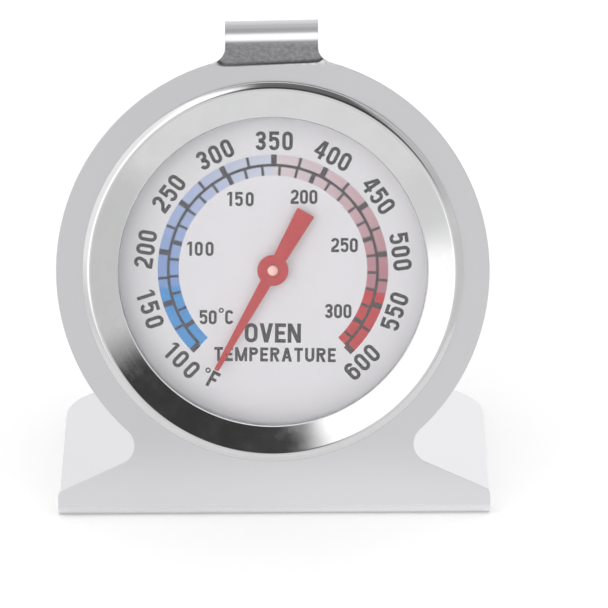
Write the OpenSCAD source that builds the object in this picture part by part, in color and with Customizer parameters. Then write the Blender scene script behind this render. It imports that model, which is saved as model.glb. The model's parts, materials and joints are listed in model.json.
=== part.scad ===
// Dial oven thermometer: a stamped stand plate with a rack hook and a folded foot, and a bimetal movement
// in a round case.
// Millimetres. +Z is up, the foot's underside is z = 0, and the dial looks towards -Y and a little upwards.
// The dial's own frame has its origin at the plate's centre on its front face: x right, y up the plate,
// z out of the dial.

/* [Stand plate] */
// Diameter of the plate's round part
plate_d = 60; // [58:0.5:64]
// Thickness of the plate's sheet
sheet = 0.5; // [0.4:0.05:0.6]
// How far the plate leans back from upright, in degrees
lean = 20; // [12:1:24]
// Distance from the dial's centre down to the fold
drop = 33.8; // [33:0.1:36]
// Width of the base
base_w = 60; // [59:0.1:62]
// Depth of the foot behind the fold
foot_depth = 38.3; // [34:0.1:42]
// Radius of the foot's rear corners
foot_corner = 9; // [4:0.5:12]

/* [Hook] */
// Width of the hook
hook_w = 12.9; // [10:0.1:14]
// Clear radius inside the hook, for a rack wire
hook_clear = 4; // [3.5:0.1:4.5]
// Straight run between the hook's crease and its curl
hook_run = 2.5; // [1.5:0.1:3.5]

/* [Case and dial] */
// Outer diameter of the bezel
bezel_d = 52.6; // [52:0.1:53.2]
// Diameter of the bezel's window
window_d = 42.7; // [42:0.1:43.4]
// Thickness of the glass
glass = 1.5; // [1.2:0.1:1.8]
// Gap between the glass and the dial
dial_gap = 2.05; // [1.9:0.05:2.4]
// Depth of the case behind the plate's front face
case_depth = 12.5; // [12.4:0.1:14]

/* [Movement] */
// Where the pointer stands at rest, in degrees clockwise from the top
pointer_rest = 209.8; // [190:0.2:225]
// Length of the pointer's long arm
pointer_long = 16; // [14:0.5:17]
// Length of the pointer's short arm
pointer_short = 9.3; // [7:0.1:10]
// Turns of the bimetal coil
coil_turns = 7; // [5:1:7]

/* [Hidden] */
$fn = 96;

// --- stand plate ---
plate_r = plate_d / 2;
fold_in = 0.8;                       // inside radius of the fold
fold_out = fold_in + sheet;
fold_u = -drop + fold_out;           // the fold's axis, measured up the plate
fold_y = -(foot_depth - fold_out) / 2;
fold_z = fold_out;
face_y = fold_y - fold_u * sin(lean) - fold_out * cos(lean);
face_z = fold_z - fold_u * cos(lean) + fold_out * sin(lean);
shoulder_x = 29.7;                   // where the base's sloping top edge meets its side
shoulder_u = 3.6 - drop;
shoulder_slope = 22.5;
shoulder_round = 1;
notch_r = 2.7;                       // fillet between the round plate and the base

// --- hook ---
hook_u = 28.9;                       // height of the crease
hook_fillet = 2.4;
crease_turn = 22;
crease_in = 1.1;
curl_turn = 164;
leg_run = 2.6;
lip_turn = 28;
lip_in = 1.2;
lip_run = 0.8;
hook_root = 1;                       // the strap's flat end, which the round plate covers

// --- joins and fits ---
join = 0.02;                         // how far the runs and bends of one sheet reach into each other
fit = 0.02;                          // clearance round a pin or shaft that is fixed in its hole

// --- case, in the dial's frame ---
bezel_r = bezel_d / 2;
window_r = window_d / 2;
bezel_sheet = 0.35;
gasket = 0.25;
lip_z = 0.4;                         // underside of the bezel's inner lip
glass_front = lip_z - gasket;
glass_back = glass_front - glass;
dial_sheet = 0.4;
dial_face = glass_back - dial_gap;
mount_front = dial_face - dial_sheet;
mount_sheet = 0.5;
mount_back = mount_front - mount_sheet;
can_sheet = 0.4;
can_r = 23.7;                        // outside of the case where it passes through the plate
can_flange_r = 25.7;
can_step = 1.1;                      // the shoulder that the dial stack rests on
can_back = -case_depth;
stack_r = can_r - can_sheet - 0.1;   // parts that drop into the case
plate_hole_r = can_r + 0.25;
clamp_w = 2.3;
clamp_t = 0.8;
glass_r = 22.9;

// --- movement, in the dial's frame ---
staff_r = 0.75;
bore_r = 0.8;                        // running fit round the staff
staff_front = glass_back - 0.3;
pointer_t = 0.25;
pointer_front = staff_front - 0.25;
pointer_back = pointer_front - pointer_t;
hub_r = 2.15;
bush_front = dial_face + 0.2;
bush_r = 1.9;
front_flange_back = mount_back - 0.7;
bridge_sheet = 0.5;
bridge_back = -10.9;
bridge_front = bridge_back + bridge_sheet;
bridge_w = 6;
bridge_leg = 13;                     // inside of each leg
bridge_foot = 18;
rivet_x = bridge_foot - bridge_w / 2;
rivet_r = 0.9;
rear_bush_r = 1.8;
rear_flange_front = bridge_front + 0.5;
rear_bush_back = bridge_back - 0.5;
collet_r = 2.2;
collet_front = -5.75;
collet_back = -9.25;
slot_w = 0.36;
strip_t = 0.3;
strip_front = -6.05;
strip_back = -8.95;
coil_r0 = 2.7;
coil_pitch = 0.86;
post_r = 1;
post_tenon_r = 0.8;
coil_r1 = coil_r0 + coil_pitch * coil_turns;
post_at = coil_r1 + 1.5;
washer_t = 0.15;
clip_t = 0.25;
groove_r = 0.55;
clip_front = rear_bush_back - 0.1;
staff_back = clip_front - clip_t - 0.15;

steel = "silver";
satin = "lightgray";
brass = "darkkhaki";

// ---------- helpers ----------

// Points along an arc, from angle a0 to a1.
function arc(centre, r, a0, a1, steps = 8) =
    [for (i = [0:steps]) centre + r * [cos(a0 + (a1 - a0) * i / steps), sin(a0 + (a1 - a0) * i / steps)]];

// Puts children from the dial's frame into the part's frame.
module on_dial() translate([0, face_y, face_z]) rotate([90 - lean, 0, 0]) children();

module both_sides() {
    children();
    mirror([1, 0, 0]) children();
}

// A round piece about the dial's axis, from z0 up to z1.
module tube(r_in, r_out, z0, z1) translate([0, 0, z0]) difference() {
    cylinder(r = r_out, h = z1 - z0);
    if (r_in > 0) translate([0, 0, -1]) cylinder(r = r_in, h = z1 - z0 + 2);
}

// A slice of a flat ring, up to half a turn.
module ring_slice(r_in, r_out, a0, a1) intersection() {
    difference() {
        circle(r = r_out);
        circle(r = r_in);
    }
    polygon(concat([[0, 0]], arc([0, 0], 3 * r_out, a0, a1, 4)));
}

// The two faces of a bent sheet, seen edge on, as [front point, back point] pairs along it.
// Each step is [straight run, turn in degrees, inside radius]; a positive turn bends towards the back.
bend_step = 6;                       // degrees between points along a bend
function heading(a) = [cos(a), sin(a)];
function bent_pairs(steps, i = 0, at = [0, 0], a = 90) = i == len(steps) ? [] :
    let (start = at + steps[i][0] * heading(a),
         turn = steps[i][1],
         inner = steps[i][2],
         back = turn < 0 ? -1 : 1,
         front_r = turn < 0 ? inner : inner + sheet,
         back_r = turn < 0 ? inner + sheet : inner,
         centre = start + back * front_r * heading(a - 90),
         count = ceil(abs(turn) / bend_step),
         pairs = [for (k = [0:count]) let (h = heading(a - 90 - turn * k / max(count, 1)))
                  [centre - back * front_r * h, centre - back * back_r * h]],
         last = pairs[count][0])
    concat(pairs, bent_pairs(steps, i + 1, last, a - turn));

module bent_sheet(steps) {
    pairs = bent_pairs(steps);
    first = [[0, 0], [sheet, 0]];
    all_pairs = concat([first], pairs);
    polygon(concat([for (p = all_pairs) p[1]], [for (i = [len(all_pairs) - 1:-1:0]) all_pairs[i][0]]));
}

// Extrudes an edge view, drawn as [depth behind the face, height up the plate], to a width across the plate.
module across(width) translate([-width / 2, 0, 0]) rotate([0, 90, 0]) linear_extrude(width) children();

// ---------- stand plate ----------

// Centre of a fillet that touches the round plate from outside and a line through a point with a given normal.
function fillet_centre(point, normal, r) =
    let (off = point * normal + r, along = sqrt(pow(plate_r + r, 2) - off * off))
    off * normal + along * [normal[1], -normal[0]];

function flip(points) = [for (i = [len(points) - 1:-1:0]) [-points[i][0], points[i][1]]];

// The flat front sheet's outline, right half: base, notch, round plate, then the hook's flared root up to
// its strap.
function half_outline(top) =
    let (side = base_w / 2,
         corner = [side - shoulder_round, shoulder_u - shoulder_round],
         web = fillet_centre([shoulder_x, shoulder_u], [sin(shoulder_slope), cos(shoulder_slope)], notch_r),
         strap = hook_w / 2,
         flare = [strap + hook_fillet, sqrt(pow(plate_r + hook_fillet, 2) - pow(strap + hook_fillet, 2))],
         web_angle = atan2(web[1], web[0]),
         flare_angle = atan2(flare[1], flare[0]))
    concat([[side, fold_u - join]],
           arc(corner, shoulder_round, 0, 90 - shoulder_slope, 6),
           arc(web, notch_r, 270 - shoulder_slope, 180 + web_angle, 16),
           arc([0, 0], plate_r, web_angle, flare_angle, 60),
           arc(flare, hook_fillet, 180 + flare_angle, 180, 12),
           [[strap, top]]);

module front_outline(top) {
    half = half_outline(top);
    polygon(concat(half, flip(half)));
}

// The hook's edge view: crease, run up, curl over the wire, leg down and a lip that flares back out.
module hook_sheet(width) translate([0, hook_u - hook_root, 0]) across(width)
    bent_sheet([[hook_root, crease_turn, crease_in], [hook_run, curl_turn, hook_clear],
                [leg_run, -lip_turn, lip_in], [lip_run, 0, 0]]);

// The root follows the flared outline, and the rest of the hook is as wide as the strap.
module hook() {
    flare_top = hook_u + crease_in + hook_run;
    flare_depth = 3;
    intersection() {
        hook_sheet(plate_d);
        translate([0, 0, -flare_depth]) linear_extrude(2 * flare_depth) intersection() {
            front_outline(flare_top);
            translate([-plate_r, hook_u - 0.5]) square([plate_d, plate_r]);
        }
    }
    hook_sheet(hook_w);
}

module fold() translate([-base_w / 2, fold_y, fold_z]) rotate([90, 0, 90]) linear_extrude(base_w)
    ring_slice(fold_in, fold_out, 180 - lean, 270);

module foot_outline() {
    half_w = base_w / 2;
    corner = [half_w - foot_corner, foot_depth - foot_corner];
    half = concat([[half_w, -join]], arc(corner, foot_corner, 0, 90, 18));
    polygon(concat(half, flip(half)));
}

module stand_plate() color(satin) {
    on_dial() {
        translate([0, 0, -sheet]) linear_extrude(sheet) difference() {
            intersection() {
                front_outline(hook_u + 1);
                translate([-plate_d, -plate_d]) square([2 * plate_d, plate_d + hook_u]);
            }
            circle(r = plate_hole_r, $fn = 180);
        }
        hook();
    }
    fold();
    translate([0, fold_y, 0]) linear_extrude(sheet) foot_outline();
}

// ---------- case ----------

// Height at x of the straight line whose points p have p * normal == level.
function line_height(x, normal, level) = (level - x * normal[0]) / normal[1];

// A ring pressed from thin sheet: a sloping flank outside, a rounded crest, a dished cone inside,
// and an edge rolled in behind the case's flange.
module bezel_ring() {
    cone_slope = 13.5;
    flank_slope = 17;
    lip_r = 0.3;
    rim_r = 0.12;
    crest_r = 1.35;
    crest_in = 1.2;
    hem_r = 0.4;
    cone_normal = heading(90 + cone_slope);
    flank_normal = heading(90 - flank_slope);
    lip = [window_r + lip_r, lip_z + 0.15];
    crest_x = bezel_r - crest_in;
    crest = [crest_x, line_height(crest_x, cone_normal, lip * cone_normal + lip_r - crest_r)];
    flank = crest * flank_normal + crest_r;
    rim_x = bezel_r - rim_r;
    rim = [rim_x, line_height(rim_x, flank_normal, flank - rim_r)];
    inner_x = bezel_r - bezel_sheet;
    hem_x = can_r + 0.7;
    front = concat(arc([bezel_r - hem_r, hem_r], hem_r, -90, 0, 4), arc(rim, rim_r, 0, 90 - flank_slope, 6),
                   arc(crest, crest_r, 90 - flank_slope, 90 + cone_slope, 10),
                   arc(lip, lip_r, 90 + cone_slope, 180, 5));
    back = concat([[window_r, lip_z], [window_r + 0.5, lip_z]],
                  arc(crest, crest_r - bezel_sheet, 90 + cone_slope, 90 - flank_slope, 6),
                  [[inner_x, line_height(inner_x, flank_normal, flank - bezel_sheet)], [inner_x, bezel_sheet],
                   [hem_x, bezel_sheet], [hem_x, 0]]);
    color(steel) on_dial() rotate_extrude($fn = 180) polygon(concat(front, back));
}

module glass_gasket() color("dimgray") on_dial() tube(window_r + 0.3, glass_r, glass_front, lip_z);

module front_glass() {
    edge = 0.2;
    color("lightcyan", 0.3) on_dial() rotate_extrude($fn = 180)
        polygon([[0, glass_back], [glass_r - edge, glass_back], [glass_r, glass_back + edge],
                 [glass_r, glass_front - edge], [glass_r - edge, glass_front], [0, glass_front]]);
}

module spacer_ring() color(steel) on_dial() tube(stack_r - 0.7, stack_r, dial_face, glass_back);

module dial_plate() color("white") on_dial() tube(bush_r + fit, stack_r, mount_front, dial_face);

module rivet_places() for (side = [-1, 1]) translate([side * rivet_x, 0, 0]) children();

module mount_plate() color(steel) on_dial() difference() {
    tube(bush_r + fit, stack_r, mount_back, mount_front);
    rivet_places() translate([0, 0, mount_back - 1]) cylinder(r = rivet_r + fit, h = 3, $fn = 48);
    translate([0, post_at, mount_back - 1]) cylinder(r = post_tenon_r + fit, h = 3, $fn = 48);
}

// A drawn cup with a flange at its mouth, a shoulder that carries the dial stack, and slots that let
// the oven's air in.
module case_can() {
    vents = 8;
    vent_in = 7.5;
    vent_out = 16;
    vent_r = 1.5;
    step_r = can_r - can_step;
    flange_z = bezel_sheet;
    profile = [[can_r, flange_z], [can_flange_r, flange_z], [can_flange_r, flange_z + can_sheet],
               [can_r - can_sheet, flange_z + can_sheet], [can_r - can_sheet, mount_back],
               [step_r - can_sheet, mount_back], [step_r - can_sheet, can_back + can_sheet],
               [0, can_back + can_sheet], [0, can_back], [step_r - 1, can_back], [step_r - 0.3, can_back + 0.3],
               [step_r, can_back + 1], [step_r, mount_back - can_sheet], [can_r, mount_back - can_sheet]];
    color(steel) on_dial() difference() {
        rotate_extrude($fn = 180) polygon(profile);
        translate([0, 0, can_back - 1]) cylinder(r = 2.6, h = 3, $fn = 64);
        for (i = [0:vents - 1]) rotate((i + 0.5) * 360 / vents) translate([0, 0, can_back - 1]) {
            translate([vent_in, 0, 0]) cylinder(r = vent_r, h = 3, $fn = 48);
            translate([vent_out, 0, 0]) cylinder(r = vent_r, h = 3, $fn = 48);
            translate([vent_in, -vent_r, 0]) cube([vent_out - vent_in, 2 * vent_r, 3]);
        }
    }
}

// A push-on ring that grips the case behind the plate.
module clamp_ring() {
    notches = 12;
    color(steel) on_dial() difference() {
        tube(can_r + fit, can_r + clamp_w, -sheet - clamp_t, -sheet);
        for (i = [0:notches - 1]) rotate(i * 360 / notches)
            translate([can_r - 0.5, -0.6, -5]) cube([1.3, 1.2, 10]);
    }
}

// ---------- movement ----------

// A stamped strap: two feet on the mounting plate, two legs and a crossbar.
module movement_bridge() color(steel) on_dial() difference() {
    union() {
        translate([-bridge_leg - bridge_sheet, -bridge_w / 2, bridge_back])
            cube([2 * (bridge_leg + bridge_sheet), bridge_w, bridge_sheet]);
        both_sides() {
            translate([bridge_leg, -bridge_w / 2, bridge_back])
                cube([bridge_sheet, bridge_w, mount_back - bridge_back]);
            translate([bridge_leg, -bridge_w / 2, mount_back - bridge_sheet])
                cube([bridge_foot - bridge_leg - bridge_w / 2, bridge_w, bridge_sheet]);
            translate([bridge_foot - bridge_w / 2, 0, mount_back - bridge_sheet])
                cylinder(r = bridge_w / 2, h = bridge_sheet);
        }
    }
    translate([0, 0, bridge_back - 1]) cylinder(r = rear_bush_r + fit, h = 3, $fn = 48);
    rivet_places() translate([0, 0, mount_back - 2]) cylinder(r = rivet_r + fit, h = 3, $fn = 48);
}

module bridge_rivets() color(brass) on_dial() rivet_places() {
    head_r = 1.4;
    head_z = mount_back - bridge_sheet;
    translate([0, 0, head_z]) cylinder(r = rivet_r, h = mount_front - head_z, $fn = 48);
    translate([0, 0, head_z - 0.3]) cylinder(r = head_r, h = 0.3, $fn = 48);
    translate([0, 0, head_z - 0.7]) cylinder(r1 = 0.9, r2 = head_r, h = 0.4, $fn = 48);
}

module front_bush() color(brass) on_dial() {
    tube(bore_r, bush_r, mount_back, bush_front);
    tube(bore_r, 3, front_flange_back, mount_back);
}

module rear_bush() color(brass) on_dial() {
    tube(bore_r, rear_bush_r, rear_bush_back, bridge_front);
    tube(bore_r, 2.6, bridge_front, rear_flange_front);
}

// The pillar that holds the coil's outer end in a slot.
module anchor_post() color(brass) on_dial() translate([0, post_at, 0]) difference() {
    union() {
        translate([0, 0, strip_back - 0.6]) cylinder(r = post_r, h = mount_back - strip_back + 0.6, $fn = 48);
        translate([0, 0, mount_back - 0.1]) cylinder(r = post_tenon_r, h = mount_sheet + 0.1, $fn = 48);
    }
    translate([-slot_w / 2, -2, strip_back - 2]) cube([slot_w, 4, strip_front - strip_back + 2.1]);
}

// A flat spiral of bimetal strip on edge, made of half turns on two centres.
// Its inner end is bent into the collet's slot, and its outer end into the post's.
module bimetal_coil() {
    half_t = strip_t / 2;
    strip_h = strip_front - strip_back;
    color("peru") on_dial() translate([0, 0, strip_back]) {
        for (i = [0:2 * coil_turns - 1]) {
            r = coil_r0 + (i + 0.5) * coil_pitch / 2;
            rotate(180 * (i % 2)) translate([0, -coil_pitch / 4, 0]) linear_extrude(strip_h)
                ring_slice(r - half_t, r + half_t, 90, 270);
        }
        translate([-half_t, collet_r - 0.6, 0]) cube([strip_t, coil_r0 + half_t - collet_r + 0.6, strip_h]);
        translate([-half_t, coil_r1 - half_t, 0]) cube([strip_t, post_at + 0.5 - coil_r1 + half_t, strip_h]);
    }
}

// Thin blade with a long tapered arm that points up, a short broad arm and a round hub.
module pointer() {
    neck = 1.2;
    color("crimson") on_dial() rotate(-pointer_rest) difference() {
        union() {
            translate([0, 0, pointer_back]) cylinder(r = hub_r, h = pointer_t, $fn = 64);
            translate([0, 0, pointer_back]) linear_extrude(pointer_t)
                polygon([[0.9, -neck], [0.8, neck], [0.33, pointer_long], [-0.33, pointer_long], [-0.8, neck],
                         [-0.9, -neck], [-1.33, -pointer_short], [1.33, -pointer_short]]);
        }
        translate([0, 0, pointer_back - 1]) cylinder(r = staff_r + fit, h = 3, $fn = 48);
    }
}

module pointer_bush() color(brass) on_dial() tube(staff_r + fit, 1.25, bush_front + 0.1, pointer_back);

module staff() color("lightsalmon") on_dial() {
    dome = 0.1;
    groove_front = clip_front + fit;
    groove_back = clip_front - clip_t - fit;
    rotate_extrude($fn = 48) polygon([
        [0, staff_back], [staff_r - dome, staff_back], [staff_r, staff_back + dome], [staff_r, groove_back],
        [groove_r, groove_back], [groove_r, groove_front], [staff_r, groove_front],
        [staff_r, staff_front - dome], [staff_r - dome, staff_front], [0, staff_front]]);
}

module coil_collet() color(brass) on_dial() difference() {
    tube(staff_r + fit, collet_r, collet_back, collet_front);
    translate([-slot_w / 2, staff_r + 0.5, collet_back - 1])
        cube([slot_w, 3, strip_front - collet_back + 1.05]);
}

module thrust_washers() color(steel) on_dial() {
    tube(staff_r + fit, 1.7, collet_front, collet_front + washer_t);
    tube(staff_r + fit, 1.7, collet_back - washer_t, collet_back);
}

module staff_clip() color("dimgray") on_dial() difference() {
    tube(groove_r + fit, 1.9, clip_front - clip_t, clip_front);
    translate([-0.5, 0, -20]) cube([1, 3, 20]);
    for (a = [150, 390]) rotate(a) translate([1.25, 0, -20]) cylinder(r = 0.35, h = 20, $fn = 32);
}

stand_plate();
bezel_ring();
glass_gasket();
front_glass();
spacer_ring();
dial_plate();
mount_plate();
case_can();
clamp_ring();
movement_bridge();
bridge_rivets();
front_bush();
rear_bush();
anchor_post();
bimetal_coil();
pointer();
pointer_bush();
staff();
coil_collet();
thrust_washers();
staff_clip();
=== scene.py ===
"""Looks of the oven thermometer.

A stand of satin sheet steel, a polished bezel, a printed dial, and a red pointer behind glass.
"""

import json
import math

import bmesh
import bpy
from mathutils import Matrix, Vector
from mathutils.geometry import delaunay_2d_cdt


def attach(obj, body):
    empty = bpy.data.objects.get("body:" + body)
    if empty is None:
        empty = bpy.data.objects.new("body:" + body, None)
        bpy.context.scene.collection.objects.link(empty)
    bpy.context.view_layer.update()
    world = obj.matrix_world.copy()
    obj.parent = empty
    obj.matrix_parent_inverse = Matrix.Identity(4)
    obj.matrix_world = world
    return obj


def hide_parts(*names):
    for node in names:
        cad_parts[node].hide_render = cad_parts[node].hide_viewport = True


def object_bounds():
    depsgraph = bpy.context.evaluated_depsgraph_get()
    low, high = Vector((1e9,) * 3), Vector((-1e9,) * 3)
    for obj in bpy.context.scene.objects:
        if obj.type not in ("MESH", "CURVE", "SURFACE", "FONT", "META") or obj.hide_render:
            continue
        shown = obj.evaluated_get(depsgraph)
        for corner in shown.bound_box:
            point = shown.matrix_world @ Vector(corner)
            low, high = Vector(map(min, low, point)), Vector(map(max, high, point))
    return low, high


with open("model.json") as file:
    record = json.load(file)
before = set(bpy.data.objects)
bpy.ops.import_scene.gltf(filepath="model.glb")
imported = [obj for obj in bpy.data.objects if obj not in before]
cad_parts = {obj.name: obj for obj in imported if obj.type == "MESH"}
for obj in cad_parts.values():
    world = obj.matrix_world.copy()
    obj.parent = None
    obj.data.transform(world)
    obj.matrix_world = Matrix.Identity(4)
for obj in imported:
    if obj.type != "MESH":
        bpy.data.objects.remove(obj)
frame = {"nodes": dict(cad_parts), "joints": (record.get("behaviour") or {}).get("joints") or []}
cad_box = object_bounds()

# ---------- the dial's own frame: x right, u up the plate, z out of the dial, in millimetres ----------
MM = 0.001
TAU = 2 * math.pi
DEGREES = 180 / math.pi
joint = next(j for j in frame["joints"] if j["name"] == "pointer_turn")
ORIGIN = Vector(joint["pos_m"])
OUT = -Vector(joint["axis"]).normalized()
RIGHT = Vector((1, 0, 0))
UP = OUT.cross(RIGHT).normalized()
LEAN = math.asin(OUT.z)


def on_dial(x, u, z):
    """A point given in the dial's frame, in millimetres, as a point in the row's frame."""
    return ORIGIN + MM * (x * RIGHT + u * UP + z * OUT)


def depth_range(node):
    """How far a CAD node reaches along the dial's axis, back and front, in millimetres."""
    depths = [(v.co - ORIGIN).dot(OUT) / MM for v in frame["nodes"][node].data.vertices]
    return min(depths), max(depths)


def radius_range(node):
    """The smallest and largest distance of a CAD node's corners from the dial's axis, in millimetres."""
    radii = [(v.co - ORIGIN).cross(OUT).length / MM for v in frame["nodes"][node].data.vertices]
    return min(radii), max(radii)


# ---------- node helpers ----------
def new_material(name):
    material = bpy.data.materials.new(name)
    material.use_nodes = True
    tree = material.node_tree
    shader = next(n for n in tree.nodes if n.type == "BSDF_PRINCIPLED")
    return material, tree, shader


def set_inputs(tree, node, inputs):
    """Links or sets a node's inputs."""
    for key, value in inputs.items():
        if isinstance(value, bpy.types.NodeSocket):
            tree.links.new(value, node.inputs[key])
        else:
            node.inputs[key].default_value = value


def add(tree, kind, inputs=None, **settings):
    """Adds a node with its properties and inputs."""
    node = tree.nodes.new(kind)
    for key, value in settings.items():
        setattr(node, key, value)
    set_inputs(tree, node, inputs or {})
    return node


def object_coords(tree):
    return add(tree, "ShaderNodeTexCoord").outputs["Object"]


def split_xyz(tree, vector):
    parts = add(tree, "ShaderNodeSeparateXYZ", {"Vector": vector})
    return [parts.outputs[axis] for axis in "XYZ"]


def math_node(tree, operation, a, b=None):
    inputs = {0: a} if b is None else {0: a, 1: b}
    return add(tree, "ShaderNodeMath", inputs, operation=operation).outputs[0]


def times(tree, a, b):
    return math_node(tree, "MULTIPLY", a, b)


def plus(tree, a, b):
    return math_node(tree, "ADD", a, b)


def ramp(tree, factor, stops):
    node = add(tree, "ShaderNodeValToRGB", {"Fac": factor})
    elements = node.color_ramp.elements
    while len(elements) < len(stops):
        elements.new(0.5)
    for element, (position, color) in zip(elements, stops):
        element.position = position
        element.color = (*color, 1)
    return node.outputs["Color"]


def to_range(tree, value, low, high, from_low=0.0, from_high=1.0, **settings):
    """Carries from_low to low and from_high to high, and stays level past them."""
    inputs = {"Value": value, "From Min": from_low, "From Max": from_high, "To Min": low, "To Max": high}
    return add(tree, "ShaderNodeMapRange", inputs, **settings).outputs["Result"]


def smooth_range(tree, value, low, high, from_low, from_high):
    return to_range(tree, value, low, high, from_low, from_high, interpolation_type="SMOOTHSTEP")


def noise(tree, vector, scale, detail=3.0, roughness=0.5):
    inputs = {"Vector": vector, "Scale": scale, "Detail": detail, "Roughness": roughness}
    return add(tree, "ShaderNodeTexNoise", inputs).outputs["Fac"]


def spread(tree, noise_value, low, high):
    """Opens out a noise, whose values are mostly between 0.3 and 0.7, to a wanted range."""
    return to_range(tree, noise_value, low, high, 0.3, 0.7)


def stretched(tree, vector, scale, rotation=(0, 0, 0)):
    inputs = {"Vector": vector, "Scale": scale, "Rotation": rotation}
    return add(tree, "ShaderNodeMapping", inputs).outputs["Vector"]


def bump(tree, height, strength, relief=0.02 * MM):
    inputs = {"Height": height, "Strength": strength, "Distance": relief}
    return add(tree, "ShaderNodeBump", inputs).outputs["Normal"]


def gray(value):
    return (value, value, value, 1)


def smooth_band(tree, value, low, high, soft):
    """1 where low < value < high, with soft edges."""
    rise = smooth_range(tree, value, 0.0, 1.0, low - soft, low + soft)
    fall = smooth_range(tree, value, 1.0, 0.0, high - soft, high + soft)
    return times(tree, rise, fall)


def mix_color(tree, factor, a, b, mode="MIX"):
    inputs = {0: factor, 6: a, 7: b}
    return add(tree, "ShaderNodeMix", inputs, data_type="RGBA", blend_type=mode).outputs[2]


def tinted(tree, color, tone):
    """A colour socket, or an even colour, times a tone near 1."""
    even = color if isinstance(color, bpy.types.NodeSocket) else (*color, 1)
    return mix_color(tree, 1.0, even, tone, "MULTIPLY")


def dial_coords(tree):
    """Coordinates in the dial's frame, in millimetres, for a piece whose mesh is in the row's frame."""
    inputs = {"Vector": object_coords(tree), "Location": ORIGIN, "Rotation": (math.pi / 2 - LEAN, 0, 0),
              "Scale": (MM, MM, MM)}
    return add(tree, "ShaderNodeMapping", inputs, vector_type="TEXTURE").outputs["Vector"]


def srgb(r, g, b):
    """An 8-bit screen colour as linear values."""
    return tuple(((c / 255 + 0.055) / 1.055) ** 2.4 if c > 10 else c / 255 / 12.92 for c in (r, g, b))


# ---------- materials ----------
PAINT_SPECULAR = 0.08  # the print lies under glass, so its own gloss is slight
PEEL_SCALE = 7.0  # grain of baked enamel and ink


def steel_material(name, color, roughness, grain, stretch, blotch=0.012, streak=0.02, painted_light_and_scuffs=False):
    """Bare metal with a directional grain, faint clouding and pits; the stand's flag adds painted shade and
    light across its plate, and scuffs on its hook.
    """
    material, tree, shader = new_material(name)
    coords = dial_coords(tree)
    grain_noise = noise(tree, stretched(tree, coords, stretch), 11.0, 4.0, 0.6)
    clouds = noise(tree, coords, 0.12, 2.0, 0.5)
    pits = noise(tree, coords, 16.0, 2.0, 0.5)
    tone = spread(tree, clouds, 1 - blotch, 1 + blotch)
    tone = plus(tree, tone, spread(tree, grain_noise, -streak, streak))
    rough = spread(tree, grain_noise, roughness - 0.03, roughness + 0.03)
    height = plus(tree, grain_noise, times(tree, pits, 0.5))
    if painted_light_and_scuffs:
        # painted shade to the left of the plate and painted light down to the fold; the hook scuffs below
        # are wear
        tone = times(tree, tone, worked_tone(tree, coords))
        darker, rougher, deeper = hook_scuffs(tree, coords)
        tone = times(tree, tone, math_node(tree, "SUBTRACT", 1.0, darker))
        rough = plus(tree, rough, rougher)
        height = plus(tree, height, deeper)
    set_inputs(tree, shader, {"Base Color": tinted(tree, color, tone), "Roughness": rough, "Metallic": 1.0,
                              "Normal": bump(tree, height, grain)})
    return material


def worked_tone(tree, coords):
    """Painted shade darker to the left of the plate, and painted light in two steps down to the fold."""
    across, _, _ = split_xyz(tree, coords)
    tone = smooth_range(tree, across, 0.88, 0.955, -24.0, 18.0)
    _, _, above_floor = split_xyz(tree, object_coords(tree))
    for low, high in ((2.2, 11.6), (0.8, 1.8)):
        tone = times(tree, tone, smooth_range(tree, above_floor, 1.17, 1.0, low * MM, high * MM))
    return tone


def hook_scuffs(tree, coords):
    """Coarse scuffs on the hook's flat front: what they take from tone and add to roughness and height."""
    _, up, out = split_xyz(tree, coords)
    near_hook = times(tree, smooth_band(tree, up, CREASE_U + 0.1, CREASE_U + 3.0, 0.3),
                      smooth_band(tree, out, -2.5, 1.0, 0.3))
    scuffs = noise(tree, stretched(tree, coords, (1.0, 1.6, 0.6)), 1.5, 6.0, 0.8)
    darker = to_range(tree, scuffs, -0.4, 0.4, 0.35, 0.7)
    rougher = to_range(tree, scuffs, -0.1, -0.03, 0.35, 0.7)
    deeper = times(tree, scuffs, 1.2)
    return [times(tree, near_hook, change) for change in (darker, rougher, deeper)]


def chrome_material():
    """Polished metal with faint turning marks and a few soft smudges."""
    material, tree, shader = new_material("polished_bezel")
    coords = dial_coords(tree)
    x, u, _ = split_xyz(tree, coords)
    radius = math_node(tree, "SQRT", plus(tree, times(tree, x, x), times(tree, u, u)))
    turning = add(tree, "ShaderNodeTexNoise", {"W": radius, "Scale": 22.0, "Detail": 2.0},
                  noise_dimensions="1D").outputs["Fac"]
    smudge = noise(tree, coords, 0.35, 4.0, 0.6)
    specks = noise(tree, coords, 3.0, 5.0, 0.7)
    rough = to_range(tree, smudge, 0.05, 0.14, 0.35, 0.7)
    rough = plus(tree, rough, to_range(tree, specks, 0.0, 0.05, 0.5, 0.75))
    clean, dulled = (0.61, 0.61, 0.615, 1), (0.585, 0.585, 0.59, 1)
    color = mix_color(tree, to_range(tree, smudge, 0.0, 1.0, 0.4, 0.8), clean, dulled)
    set_inputs(tree, shader, {"Base Color": color, "Roughness": rough, "Metallic": 1.0,
                              "Normal": bump(tree, turning, 0.06)})
    return material


def paint_material(name, color, roughness=0.45, mottling=0.03, scale=1.5):
    """Baked enamel or ink: nearly even, with a fine orange peel."""
    material, tree, shader = new_material(name)
    coords = dial_coords(tree)
    cloud = noise(tree, coords, scale, 3.0, 0.5)
    peel = noise(tree, coords, PEEL_SCALE, 2.0, 0.5)
    tone = spread(tree, cloud, 1 - mottling, 1 + mottling)
    set_inputs(tree, shader, {"Base Color": tinted(tree, color, tone), "Normal": bump(tree, peel, 0.08),
                              "Roughness": spread(tree, peel, roughness - 0.06, roughness + 0.06),
                              "Specular IOR Level": PAINT_SPECULAR})
    return material


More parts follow.
